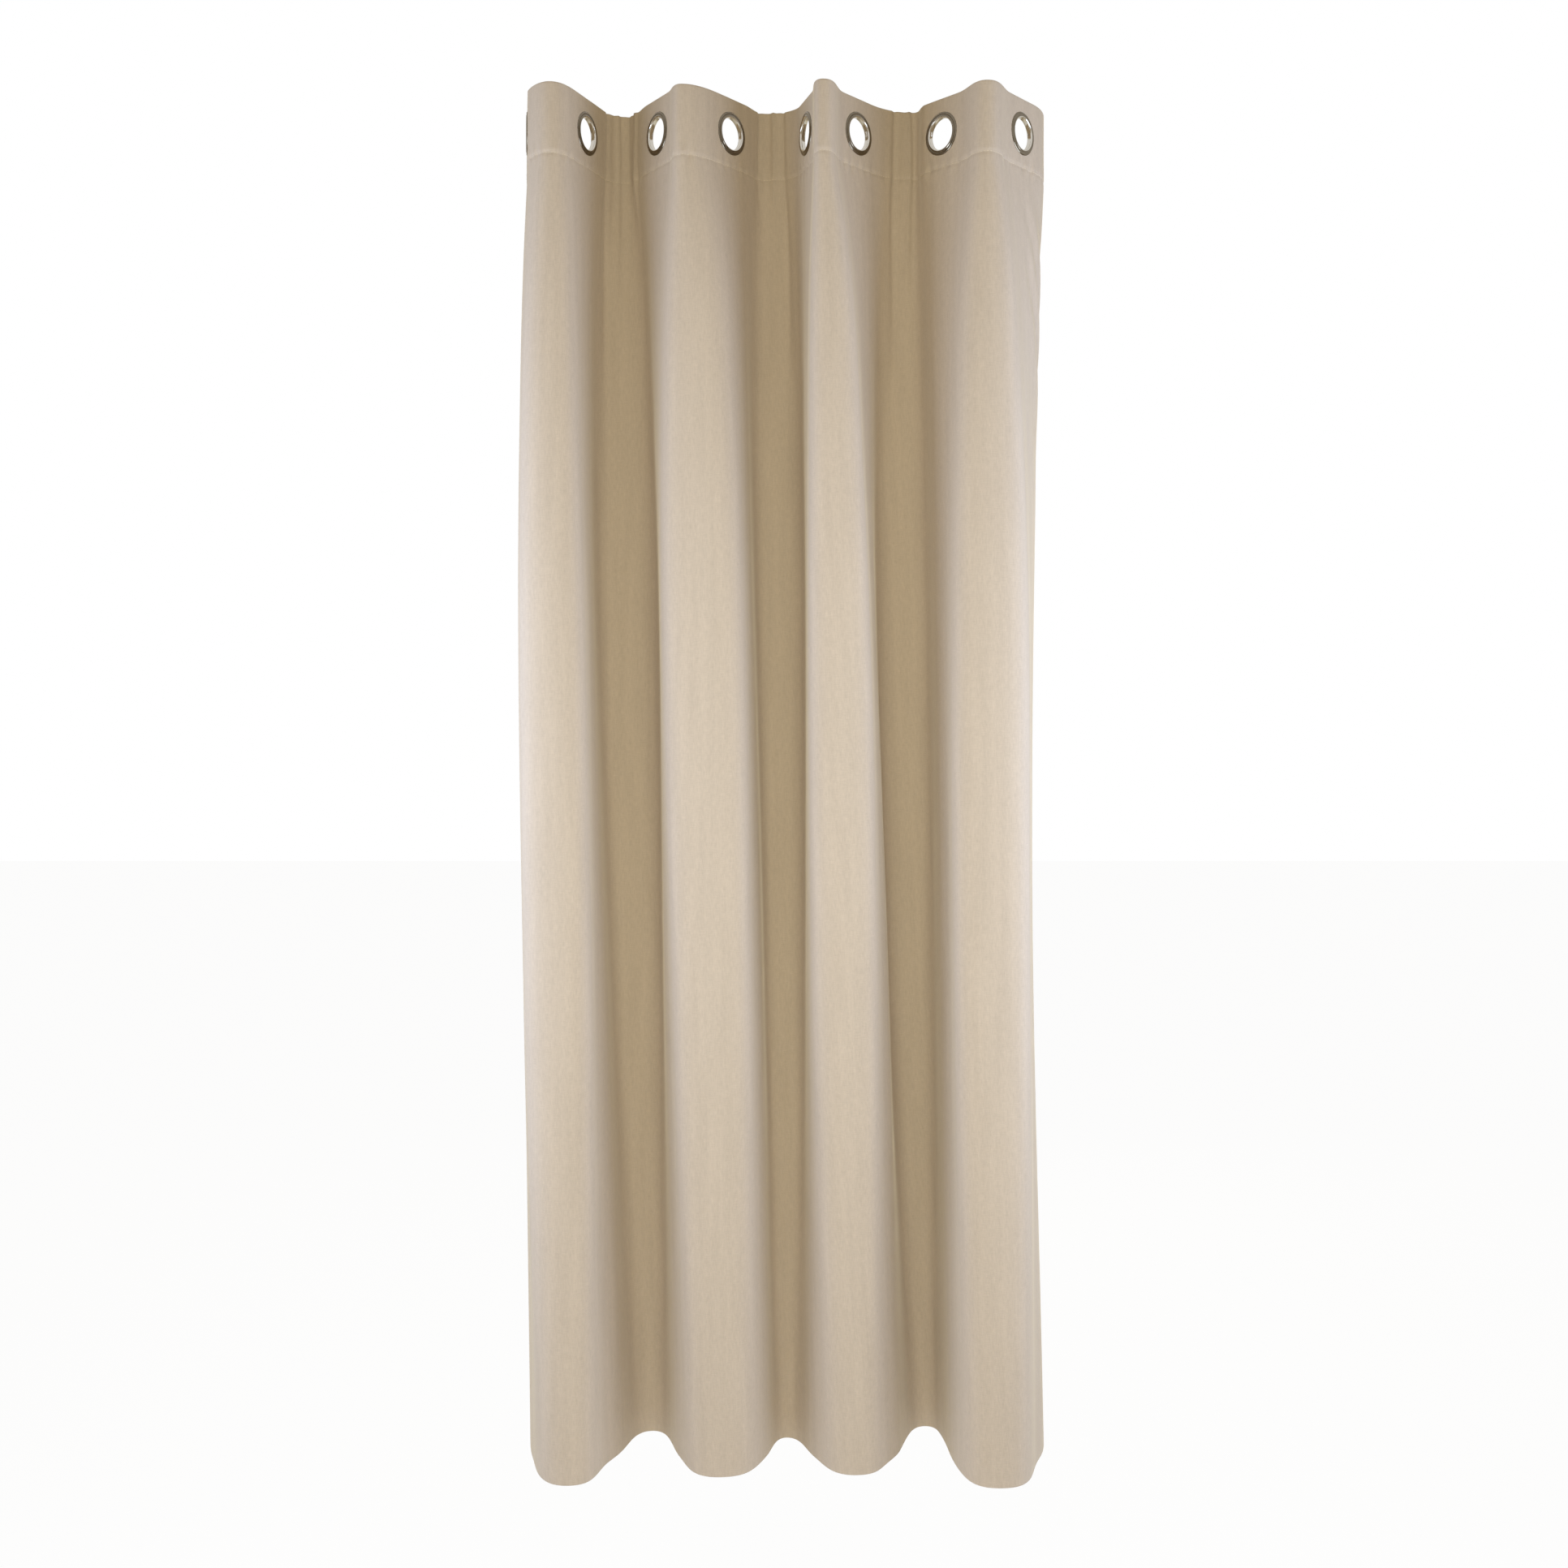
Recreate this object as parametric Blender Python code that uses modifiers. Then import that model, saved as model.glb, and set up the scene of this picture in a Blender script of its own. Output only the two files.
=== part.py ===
"""Eyelet curtain panel, hung in eight limbs and ready to be drawn along a pole.

X runs along the pole, +Y points to the window and +Z is up. The origin is on the pole's centre line.
The cloth is divided at its fold lines into leaves, because each leaf turns about them when it is drawn.
"""

import math

import bmesh
import bpy
from mathutils import Matrix, Vector
from mathutils.geometry import interpolate_bezier

# Cloth, laid flat, in metres
PANEL_WIDTH = 1.400
PANEL_DROP = 1.750
HEADING_HEIGHT = 0.090
BOTTOM_HEM_HEIGHT = 0.022
SIDE_HEM_WIDTH = 0.020
CLOTH_THICKNESS = 0.0010
STIFFENER_THICKNESS = 0.0006
HEM_THICKNESS = 0.0016

# Eyelets
EYELET_DROP = 0.045
BORE_RADIUS = 0.020
RING_RADIUS = 0.0275
BACK_RING_RADIUS = 0.0265
DOME_HEIGHT = 0.0030
BARREL_WALL = 0.0008
BACK_RING_HEIGHT = 0.0020
BACK_RING_EDGE = 0.0008
BACK_RING_CHAMFER = 0.0014
ROLL_REACH = 0.0016
ROLL_HEIGHT = 0.0008
RING_STEPS = 24
DOME_STEPS = 6

# Clearances
LAYER_GAP = 0.0003
FOLD_GAP = 0.0009
LAYER_STOP = 0.0042
SEAM_GAP = 0.0003

# How it hangs: the pole length from the first to the last eyelet, each eyelet's share of it,
# the cloth's angle to the pole at each eyelet, and each fold's share of the way between two eyelets
HUNG_SPREAD = 0.636
HUNG_CENTRE = -0.0115
EYELET_SHARES = (0.0, 0.119, 0.262, 0.411, 0.563, 0.668, 0.837, 1.0)
LIMB_DEGREES = (80.5, 69.4, 57.3, 53.0, 74.3, 50.2, 49.9, 50.7)
FOLD_SHARES = (0.483, 0.444, 0.358, 0.468, 0.298, 0.694, 0.490)
FLAT_HALF = 0.030
EDGE_TURN_DEGREES = (0.0, 34.0)
LIMB_PULL = 0.42
FOLD_PULL = 0.50
CURVE_POINTS = 6

COUNT = len(EYELET_SHARES)
PITCH = PANEL_WIDTH / COUNT
EDGE_CLOTH = PITCH / 2
TOP = EYELET_DROP
BOTTOM = TOP - PANEL_DROP
BACK_FACE = CLOTH_THICKNESS / 2
STIFFENER_OFFSET = BACK_FACE + LAYER_GAP + STIFFENER_THICKNESS / 2
FACING_OFFSET = STIFFENER_OFFSET + STIFFENER_THICKNESS / 2 + LAYER_GAP + CLOTH_THICKNESS / 2
HEADING_BACK = FACING_OFFSET + CLOTH_THICKNESS / 2
HEM_OFFSET = BACK_FACE + LAYER_GAP + HEM_THICKNESS / 2
HEADING_BOTTOM = TOP - HEADING_HEIGHT
HOLE_RADIUS = BORE_RADIUS + BARREL_WALL + SEAM_GAP
CUTTER_DEPTH = 0.0275


def clear_scene():
    for obj in list(bpy.data.objects):
        bpy.data.objects.remove(obj, do_unlink=True)


def new_collection(name):
    collection = bpy.data.collections.new(name)
    bpy.context.scene.collection.children.link(collection)
    return collection


def finish(name, colour, roughness, metallic=0.0):
    material = bpy.data.materials.new(name)
    material.use_nodes = True
    shader = material.node_tree.nodes["Principled BSDF"]
    shader.inputs["Base Color"].default_value = (*colour, 1.0)
    shader.inputs["Roughness"].default_value = roughness
    shader.inputs["Metallic"].default_value = metallic
    return material


# Plan of the hung cloth: the middle of the face cloth, seen from above


def eyelet_place(index):
    return Vector(((EYELET_SHARES[index] - 0.5) * HUNG_SPREAD + HUNG_CENTRE, 0.0, 0.0))


def limb_direction(index):
    """Odd limbs, counted from one, run towards the room as X grows, and even limbs towards the window."""
    angle = math.radians(LIMB_DEGREES[index])
    side = -1 if index % 2 == 0 else 1
    return Vector((math.cos(angle), side * math.sin(angle), 0.0))


def flat_ends(index):
    middle = eyelet_place(index)
    reach = limb_direction(index) * FLAT_HALF
    return middle - reach, middle + reach


def half_fold(flat_end, direction, fold):
    """A curve from the end of a flat to the fold line, where it runs along the pole."""
    reach = (fold - flat_end).length
    along = Vector((math.copysign(1.0, direction.x), 0.0, 0.0))
    return interpolate_bezier(
        flat_end,
        flat_end + direction * reach * LIMB_PULL,
        fold - along * reach * FOLD_PULL,
        fold,
        CURVE_POINTS,
    )


def path_length(points):
    return sum((b - a).length for a, b in zip(points, points[1:]))


def fold_sides(index, depth):
    """The two curves that meet at a fold, each from its flat, for a fold this far from the pole."""
    left, right = eyelet_place(index), eyelet_place(index + 1)
    side = -1 if index % 2 == 0 else 1
    fold = Vector((left.x + FOLD_SHARES[index] * (right.x - left.x), side * depth, 0.0))
    before = half_fold(flat_ends(index)[1], limb_direction(index), fold)
    after = half_fold(flat_ends(index + 1)[0], -limb_direction(index + 1), fold)
    return before, after


def fold_curves(index):
    """Sets the fold's depth so that the cloth between its two eyelets is one pitch long."""
    low, high = FLAT_HALF * 0.5, PITCH
    for _ in range(50):
        depth = (low + high) / 2
        before, after = fold_sides(index, depth)
        if path_length(before) + path_length(after) > PITCH - 2 * FLAT_HALF:
            high = depth
        else:
            low = depth
    return before, after


def edge_curve(index, side, turn):
    """The cloth from an outer eyelet's flat to the panel's edge, turning evenly on its way."""
    end = flat_ends(index)[0 if side < 0 else 1]
    direction = limb_direction(index) * side
    step = (EDGE_CLOTH - FLAT_HALF) / CURVE_POINTS
    points = [end]
    for count in range(CURVE_POINTS):
        bend = Matrix.Rotation(math.radians(turn) * (count + 0.5) / CURVE_POINTS, 3, "Z")
        points.append(points[-1] + (bend @ direction) * step)
    return points


def leaf_plan(index, folds):
    """The plan of one leaf from left to right, from fold line to fold line."""
    if index == 0:
        before = [flat_ends(0)[0]]
    else:
        before = list(reversed(folds[index - 1][1]))
    if index == COUNT - 1:
        after = edge_curve(index, 1, EDGE_TURN_DEGREES[1])
    else:
        after = list(folds[index][0])
    return before + after


def trimmed(points, start, end):
    """The path with a length taken off its start and its end."""
    for cut in (start, end):
        while cut > 0 and (points[1] - points[0]).length <= cut:
            cut -= (points[1] - points[0]).length
            points = points[1:]
        first = points[0] + (points[1] - points[0]).normalized() * cut
        points = list(reversed([first] + points[1:]))
    return points


def offset_path(points, offset):
    """The path moved towards the window side, square to itself."""
    moved = []
    for index, point in enumerate(points):
        before = points[max(index - 1, 0)]
        after = points[min(index + 1, len(points) - 1)]
        along = (after - before).normalized()
        moved.append(point + Vector((-along.y, along.x, 0.0)) * offset)
    return moved


# Solids


def cloth_strip(name, plan, heights, thickness, place, material, short_spans=()):
    """An upright strip of cloth along a plan, as a thin closed solid. Its short spans end at the second height."""
    mesh = bmesh.new()
    spans, rows = len(plan) - 1, len(heights) - 1
    bmesh.ops.create_grid(mesh, x_segments=spans, y_segments=rows, size=0.5)
    above = []
    for face in mesh.faces:
        middle = face.calc_center_median()
        if int((middle.x + 0.5) * spans) in short_spans and (middle.y + 0.5) * rows > 1:
            above.append(face)
    bmesh.ops.delete(mesh, geom=above, context="FACES")
    for vert in mesh.verts:
        point = plan[round((vert.co.x + 0.5) * spans)]
        height = heights[round((vert.co.y + 0.5) * rows)]
        vert.co = Vector((point.x, point.y, height)) - place.location
    data = bpy.data.meshes.new(name)
    mesh.to_mesh(data)
    mesh.free()
    data.materials.append(material)
    obj = bpy.data.objects.new(name, data)
    obj.parent = place
    parts.objects.link(obj)
    solid = obj.modifiers.new("thickness", "SOLIDIFY")
    solid.thickness = thickness
    solid.offset = 0
    solid.use_even_offset = True
    return obj


def turned_ring(name, profile, index, place, material):
    """A ring turned about the eyelet's axis. The profile's height is towards the room."""
    data = bpy.data.meshes.new(name)
    edges = [(i, (i + 1) % len(profile)) for i in range(len(profile))]
    data.from_pydata([(radius, 0.0, height) for radius, height in profile], edges, [])
    data.materials.append(material)
    obj = bpy.data.objects.new(name, data)
    obj.parent = place
    obj.location = eyelet_place(index) - place.location
    obj.rotation_euler = eyelet_turn(index).to_euler()
    parts.objects.link(obj)
    screw = obj.modifiers.new("turn", "SCREW")
    screw.axis = "Z"
    screw.steps = RING_STEPS
    screw.render_steps = RING_STEPS
    screw.use_merge_vertices = True
    screw.merge_threshold = 0.00005
    screw.use_smooth_shade = True
    return obj


def eyelet_turn(index):
    """Turns +Z to the room side of the cloth at this eyelet."""
    along = limb_direction(index)
    to_room = Vector((along.y, -along.x, 0.0))
    return to_room.to_track_quat("Z", "Y").to_matrix()


def eyelet_front_profile():
    """Domed flange, barrel through the cloth, and the roll that holds the back ring."""
    seat = BACK_FACE + LAYER_GAP
    middle = (RING_RADIUS + BORE_RADIUS) / 2
    half = (RING_RADIUS - BORE_RADIUS) / 2
    turns = [math.pi * i / DOME_STEPS for i in range(DOME_STEPS + 1)]
    dome = [(middle - half * math.cos(turn), seat + DOME_HEIGHT * math.sin(turn)) for turn in turns]
    outside = BORE_RADIUS + BARREL_WALL
    roll = -(HEADING_BACK + LAYER_GAP + BACK_RING_HEIGHT + SEAM_GAP)
    barrel = [
        (outside, seat),
        (outside, roll),
        (outside + ROLL_REACH, roll),
        (outside + ROLL_REACH, roll - ROLL_HEIGHT / 2),
        (outside, roll - ROLL_HEIGHT),
        (BORE_RADIUS, roll - ROLL_HEIGHT / 2),
    ]
    return dome + barrel


def eyelet_back_profile():
    inner = BORE_RADIUS + BARREL_WALL + SEAM_GAP
    seat = -(HEADING_BACK + LAYER_GAP)
    crown = seat - BACK_RING_HEIGHT
    return [
        (inner, seat),
        (BACK_RING_RADIUS, seat),
        (BACK_RING_RADIUS, seat - BACK_RING_EDGE),
        (BACK_RING_RADIUS - BACK_RING_CHAMFER, crown),
        (inner, crown),
    ]


def hole_cutter(index):
    name = f"hole_cutter_{index + 1}"
    mesh = bmesh.new()
    bmesh.ops.create_cone(
        mesh,
        cap_ends=True,
        segments=RING_STEPS,
        radius1=HOLE_RADIUS,
        radius2=HOLE_RADIUS,
        depth=CUTTER_DEPTH,
    )
    data = bpy.data.meshes.new(name)
    mesh.to_mesh(data)
    mesh.free()
    obj = bpy.data.objects.new(name, data)
    obj.location = eyelet_place(index)
    obj.rotation_euler = eyelet_turn(index).to_euler()
    obj.hide_render = True
    obj.display_type = "WIRE"
    cutters.objects.link(obj)
    return obj


def cut_hole(obj, cutter):
    cut = obj.modifiers.new("eyelet hole", "BOOLEAN")
    cut.operation = "DIFFERENCE"
    cut.solver = "EXACT"
    cut.object = cutter


def fold_axis(name, point):
    axis = bpy.data.objects.new(name, None)
    axis.empty_display_type = "SINGLE_ARROW"
    axis.location = (point.x, point.y, 0.0)
    parts.objects.link(axis)
    return axis


def heading_layers(names, plan, ends, place):
    """The stiffener and the turned-over cloth behind the face cloth, short of the fold lines."""
    stiffener_name, facing_name = names
    strips = (
        (stiffener_name, STIFFENER_OFFSET, STIFFENER_THICKNESS, buckram, SEAM_GAP),
        (facing_name, FACING_OFFSET, CLOTH_THICKNESS, cloth, 0.0),
    )
    made = []
    for name, offset, thickness, material, inset in strips:
        short = trimmed(plan, *ends)
        heights = (HEADING_BOTTOM + inset, TOP - inset)
        path = offset_path(short, offset)
        made.append(cloth_strip(name, path, heights, thickness, place, material))
    return made


def bottom_hem(name, plan, ends, place):
    path = offset_path(trimmed(plan, *ends), HEM_OFFSET)
    heights = (BOTTOM, BOTTOM + BOTTOM_HEM_HEIGHT)
    cloth_strip(name, path, heights, HEM_THICKNESS, place, cloth)


def corner_hem(name, plan, ends, side, place):
    """The turned edge along the bottom and up one side of the panel, in one piece."""
    rest = path_length(plan) - SIDE_HEM_WIDTH
    if side < 0:
        upright = trimmed(plan, ends[0], rest)
        low = trimmed(plan, SIDE_HEM_WIDTH, ends[1])
        path, start = upright + low[1:], len(upright) - 1
    else:
        upright = trimmed(plan, rest, ends[1])
        low = trimmed(plan, ends[0], SIDE_HEM_WIDTH)
        path, start = low + upright[1:], 0
    short_spans = range(start, start + len(low) - 1)
    heights = (BOTTOM, BOTTOM + BOTTOM_HEM_HEIGHT, HEADING_BOTTOM - SEAM_GAP)
    path = offset_path(path, HEM_OFFSET)
    cloth_strip(name, path, heights, HEM_THICKNESS, place, cloth, short_spans)


def leaf(index, plan, place):
    number = index + 1
    last = index == COUNT - 1
    face_ends = (FOLD_GAP / 2, 0.0 if last else FOLD_GAP / 2)
    layer_ends = (LAYER_STOP, 0.0 if last else LAYER_STOP)
    if index == 0:
        layer_ends = (FOLD_GAP / 2, LAYER_STOP)
    path = trimmed(plan, *face_ends)
    heading = cloth_strip(f"heading_{number}", path, (HEADING_BOTTOM, TOP), CLOTH_THICKNESS, place, cloth)
    drop = (BOTTOM, HEADING_BOTTOM - SEAM_GAP)
    cloth_strip(f"panel_{number}", path, drop, CLOTH_THICKNESS, place, cloth)
    layers = heading_layers((f"stiffener_{number}", f"facing_{number}"), plan, layer_ends, place)
    cutter = hole_cutter(index)
    for obj in [heading] + layers:
        cut_hole(obj, cutter)
    if last:
        corner_hem("right_hem", plan, layer_ends, 1, place)
    else:
        bottom_hem(f"bottom_hem_{number}", plan, layer_ends, place)
    turned_ring(f"eyelet_front_{number}", eyelet_front_profile(), index, place, nickel)
    turned_ring(f"eyelet_back_{number}", eyelet_back_profile(), index, place, nickel)


def left_margin(plan, place):
    """The cloth outside the first eyelet, which stays where it is when the panel is drawn."""
    ends = (0.0, FOLD_GAP / 2)
    face = trimmed(plan, *ends)
    cloth_strip("left_margin", face, (BOTTOM, TOP), CLOTH_THICKNESS, place, cloth)
    heading_layers(("left_margin_stiffener", "left_margin_facing"), plan, ends, place)
    corner_hem("left_hem", plan, ends, -1, place)


def main():
    folds = [fold_curves(index) for index in range(COUNT - 1)]
    plans = [leaf_plan(index, folds) for index in range(COUNT)]
    margin = list(reversed(edge_curve(0, -1, EDGE_TURN_DEGREES[0])))
    left_margin(margin, fold_axis("left_edge_place", margin[-1]))
    for index, plan in enumerate(plans):
        place = fold_axis(f"fold_axis_{index + 1}", plan[0])
        leaf(index, plan, place)


clear_scene()
parts = new_collection("eyelet_curtain")
cutters = new_collection("cutters")
cloth = finish("blackout cloth", (0.56, 0.49, 0.40), 0.85)
buckram = finish("buckram", (0.80, 0.79, 0.75), 0.9)
nickel = finish("nickel", (0.72, 0.69, 0.66), 0.22, 1.0)
main()
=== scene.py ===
import math

import bmesh
import bpy
import numpy as np
from mathutils import Matrix, Vector


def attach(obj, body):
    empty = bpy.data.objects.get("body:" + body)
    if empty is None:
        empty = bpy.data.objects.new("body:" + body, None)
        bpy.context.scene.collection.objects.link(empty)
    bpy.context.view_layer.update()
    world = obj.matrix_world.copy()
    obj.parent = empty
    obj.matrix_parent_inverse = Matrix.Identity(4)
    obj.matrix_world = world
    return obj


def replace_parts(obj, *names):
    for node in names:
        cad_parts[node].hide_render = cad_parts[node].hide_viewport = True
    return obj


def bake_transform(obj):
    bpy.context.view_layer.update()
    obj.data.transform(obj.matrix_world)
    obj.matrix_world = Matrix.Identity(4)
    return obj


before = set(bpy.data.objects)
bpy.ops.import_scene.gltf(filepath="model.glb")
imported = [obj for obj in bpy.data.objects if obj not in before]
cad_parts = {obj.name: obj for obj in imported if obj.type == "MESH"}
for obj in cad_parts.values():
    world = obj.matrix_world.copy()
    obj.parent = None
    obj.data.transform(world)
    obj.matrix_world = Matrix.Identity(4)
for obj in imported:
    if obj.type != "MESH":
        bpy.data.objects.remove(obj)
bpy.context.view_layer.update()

# the eyelet curtain: one sheet of blackout cloth on eight nickel eyelets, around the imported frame
# x runs along the pole, -y is the room, z is up and the pole's centre line is at the origin

eyeletCount = 8
hungSpread = 0.636
hungCentre = -0.0115
eyeletShares = (0.0, 0.119, 0.262, 0.411, 0.563, 0.668, 0.837, 1.0)
eyeletX = [(share - 0.5) * hungSpread + hungCentre for share in eyeletShares]

cloth = {
    "width": 1.400,
    "top": 0.045,
    "hem": -1.705,
    "heading": 0.090,
    "hemTurn": 0.022,
    "sideTurn": 0.020,
    "thickness": 0.0008,
    "facingBack": 0.0022,  # from the middle of the face cloth to the middle of the turned-over heading
    "hemBack": 0.0012,
    "stitchedBack": 0.0010,
    "columnsPerPitch": 70,
    "holeRadius": 0.0236,
    "holeInside": 0.002,  # points this near the circle, on either side, are drawn to it
    "holeOutside": 0.0015,
}
cloth["pitch"] = cloth["width"] / eyeletCount
cloth["edge"] = cloth["pitch"] / 2
cloth["seam"] = cloth["top"] - cloth["heading"]

# how it hangs, at four heights: just above the seam, a third down, two thirds down and at the hem
drape = {
    "heights": (-0.050, -0.48, -1.07, -1.705),
    # where each limb crosses the pole line
    "limbX": (
        (0.0, -0.0095, -0.0060, 0.0060),
        (0.0, 0.0020, 0.0160, 0.0320),
        (0.0, 0.0030, 0.0120, 0.0290),
        (0.0, 0.0210, 0.0350, 0.0420),
        (0.0, 0.0010, 0.0030, 0.0130),
        (0.0, 0.0150, 0.0330, 0.0450),
        (0.0, -0.0020, 0.0030, 0.0140),
        (0.0, 0.0110, 0.0110, 0.0210),
    ),
    # the limb's angle to the pole, in degrees
    "limbAngle": (
        (80.5, 83.0, 80.0, 75.0),
        (69.4, 82.0, 74.0, 61.0),
        (57.3, 80.0, 74.0, 66.0),
        (53.0, 78.0, 74.0, 64.0),
        (74.3, 86.0, 84.0, 62.0),
        (50.2, 74.0, 70.0, 58.0),
        (49.9, 68.0, 74.0, 80.0),
        (50.7, 72.0, 76.0, 66.0),
    ),
    # each fold's outermost line: along the pole, and out from it
    "foldX": (
        (-0.2930, -0.2980, -0.2880, -0.2700),
        (-0.2136, -0.2070, -0.1960, -0.1740),
        (-0.1290, -0.1060, -0.0920, -0.0780),
        (-0.0227, -0.0070, -0.0010, 0.0040),
        (0.0485, 0.0640, 0.0790, 0.0930),
        (0.1700, 0.1530, 0.1640, 0.1900),
        (0.2537, 0.2600, 0.2600, 0.2680),
    ),
    "foldOut": (
        (0.063, 0.068, 0.070, 0.068),
        (0.069, 0.066, 0.068, 0.073),
        (0.054, 0.058, 0.056, 0.046),
        (0.057, 0.060, 0.060, 0.056),
        (0.072, 0.066, 0.056, 0.042),
        (0.053, 0.060, 0.074, 0.088),
        (0.068, 0.072, 0.074, 0.075),
    ),
    # how far each fold stays flat to the pole: small is a crisp fold
    "frontPull": (0.34, 0.62, 0.66, 0.50),
    "rearPull": (0.34, 0.62, 0.60, 0.30),
    "limbPull": (0.36, 0.40, 0.42, 0.42),
    "flatHalf": (0.029, 0.010, 0.008, 0.008),
    "leftTurn": (0.0, 8.0, 0.0, -18.0),
    "rightTurn": (37.0, 16.0, 15.0, 36.0),
    "cutCorner": (0.35, 1.0, 1.0, 1.0, 0.8, 0.8, 1.0),  # less makes the near side of a fold rounder
}


def levelValue(values, z):
    # a smooth run through the four values, one for each height
    heights = drape["heights"]
    if z >= heights[0]:
        return values[0]
    z = max(z, heights[-1])
    slopes = []
    for i in range(4):
        a, b = max(i - 1, 0), min(i + 1, 3)
        slopes.append((values[b] - values[a]) / (heights[b] - heights[a]))
    for i in range(3):
        if z >= heights[i + 1]:
            span = heights[i + 1] - heights[i]
            t = (z - heights[i]) / span
            if i == 0:
                t += t * (1 - t) ** 2  # the heading lets go of the folds quickly
            blendA = 2 * t ** 3 - 3 * t ** 2 + 1
            slopeA = (t ** 3 - 2 * t ** 2 + t) * span
            slopeB = (t ** 3 - t ** 2) * span
            return (blendA * values[i] + (1 - blendA) * values[i + 1]
                    + slopeA * slopes[i] + slopeB * slopes[i + 1])
    return values[-1]


def bezier(a, b, c, d, steps):
    t = np.linspace(0, 1, steps + 1)[:, None]
    return (1 - t) ** 3 * a + 3 * (1 - t) ** 2 * t * b + 3 * (1 - t) * t ** 2 * c + t ** 3 * d


def limbDirection(index, z):
    angle = math.radians(levelValue(drape["limbAngle"][index], z))
    side = -1 if index % 2 == 0 else 1
    return np.array((math.cos(angle), side * math.sin(angle)))


def edgeRun(start, direction, turn, length):
    # a free edge seen from above, turning by so many degrees over its length
    steps = 12
    points = [start]
    for i in range(steps):
        bend = math.radians(turn) * (i + 0.5) / steps
        turned = np.array((direction[0] * math.cos(bend) - direction[1] * math.sin(bend),
                           direction[0] * math.sin(bend) + direction[1] * math.cos(bend)))
        points.append(points[-1] + turned * length / steps)
    return np.array(points)


def planAt(z):
    # the cloth seen from above at one height: points, their distance along it and where the limbs cross
    steps = 22
    halfSteps = 4
    flat = levelValue(drape["flatHalf"], z)
    limbPull = levelValue(drape["limbPull"], z)
    frontPull = levelValue(drape["frontPull"], z)
    rearPull = levelValue(drape["rearPull"], z)
    crossings = []
    directions = []
    for i in range(eyeletCount):
        crossings.append(np.array((eyeletX[i] + levelValue(drape["limbX"][i], z), 0.0)))
        directions.append(limbDirection(i, z))
    margin = cloth["edge"] - flat
    leftTurn = levelValue(drape["leftTurn"], z)
    left = edgeRun(crossings[0] - directions[0] * flat, -directions[0], leftTurn, margin)
    pieces = [left[::-1][:-1]]
    marks = []
    for i in range(eyeletCount):
        start = crossings[i] - directions[i] * flat
        end = crossings[i] + directions[i] * flat
        pieces.append(np.linspace(start, end, 2 * halfSteps + 1)[:-1])
        marks.append(sum(len(p) for p in pieces) - halfSteps)
        if i == eyeletCount - 1:
            pieces.append(edgeRun(end, directions[i], levelValue(drape["rightTurn"], z), margin))
            break
        side = -1 if i % 2 == 0 else 1
        out = levelValue(drape["foldOut"][i], z)
        fold = np.array((levelValue(drape["foldX"][i], z), side * out))
        nextStart = crossings[i + 1] - directions[i + 1] * flat
        along = np.array((1.0, 0.0))
        foldPull = frontPull if side < 0 else rearPull
        reachA = np.linalg.norm(fold - end)
        reachB = np.linalg.norm(fold - nextStart)
        nearPull = limbPull * drape["cutCorner"][i]
        pieces.append(bezier(end, end + directions[i] * reachA * nearPull,
                             fold - along * reachA * foldPull, fold, steps)[:-1])
        pieces.append(bezier(fold, fold + along * reachB * foldPull,
                             nextStart - directions[i + 1] * reachB * limbPull, nextStart, steps)[:-1])
    points = np.concatenate(pieces)
    spans = np.linalg.norm(np.diff(points, axis=0), axis=1)
    distance = np.concatenate(([0.0], np.cumsum(spans)))
    return points, distance, marks


def smoothStep(x):
    x = np.clip(x, 0.0, 1.0)
    return x * x * (3 - 2 * x)


# the hung sheet as a table: rows of heights by columns of cloth width
tableU = np.linspace(0.0, cloth["width"], 1121)
tableZ = np.concatenate(([cloth["top"]], np.linspace(cloth["seam"] - 0.002, cloth["hem"], 150)))
eyeletU = [cloth["edge"] + cloth["pitch"] * i for i in range(eyeletCount)]
freeLength = 0.9  # below the seam, over which the cloth stops keeping to the eyelets' places


def buildTable():
    rows = []
    for z in tableZ:
        points, distance, marks = planAt(z)
        total = distance[-1]
        knotsU = np.array([0.0] + eyeletU + [cloth["width"]])
        knotsS = np.array([0.0] + [distance[m] for m in marks] + [total])
        held = np.interp(tableU, knotsU, knotsS)
        free = tableU / cloth["width"] * total
        share = float(smoothStep(np.array((cloth["seam"] - z) / freeLength)))
        s = held * (1 - share) + free * share
        rows.append(np.stack([np.interp(s, distance, points[:, axis]) for axis in (0, 1)], axis=1))
    return np.array(rows)


table = buildTable()
tangent = np.gradient(table, axis=1)
tangent /= np.linalg.norm(tangent, axis=2, keepdims=True)
normals = np.stack((-tangent[:, :, 1], tangent[:, :, 0]), axis=2)  # towards the window


def lookUp(values, u, z):
    column = np.clip(u / tableU[1], 0, len(tableU) - 1.001)
    row = np.interp(-z, -tableZ, np.arange(len(tableZ)))
    row = np.clip(row, 0, len(tableZ) - 1.001)
    c, r = column.astype(int), row.astype(int)
    fc, fr = (column - c)[:, None], (row - r)[:, None]
    upper = values[r, c] * (1 - fc) + values[r, c + 1] * fc
    lower = values[r + 1, c] * (1 - fc) + values[r + 1, c + 1] * fc
    return upper * (1 - fr) + lower * fr


relief = {
    "foldDepth": 0.0016,
    "folds": {"seed": 3, "count": 9, "uScale": 26.0, "zScale": 3.0},
    "rippleDepth": 0.0005,
    "ripples": {"seed": 8, "count": 12, "uScale": 90.0, "zScale": 5.0},
    "stillness": 0.25,  # how far down the stiff heading holds the slow folds back
    "headingShare": 0.25,  # of the ripples that the heading keeps
}

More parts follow.
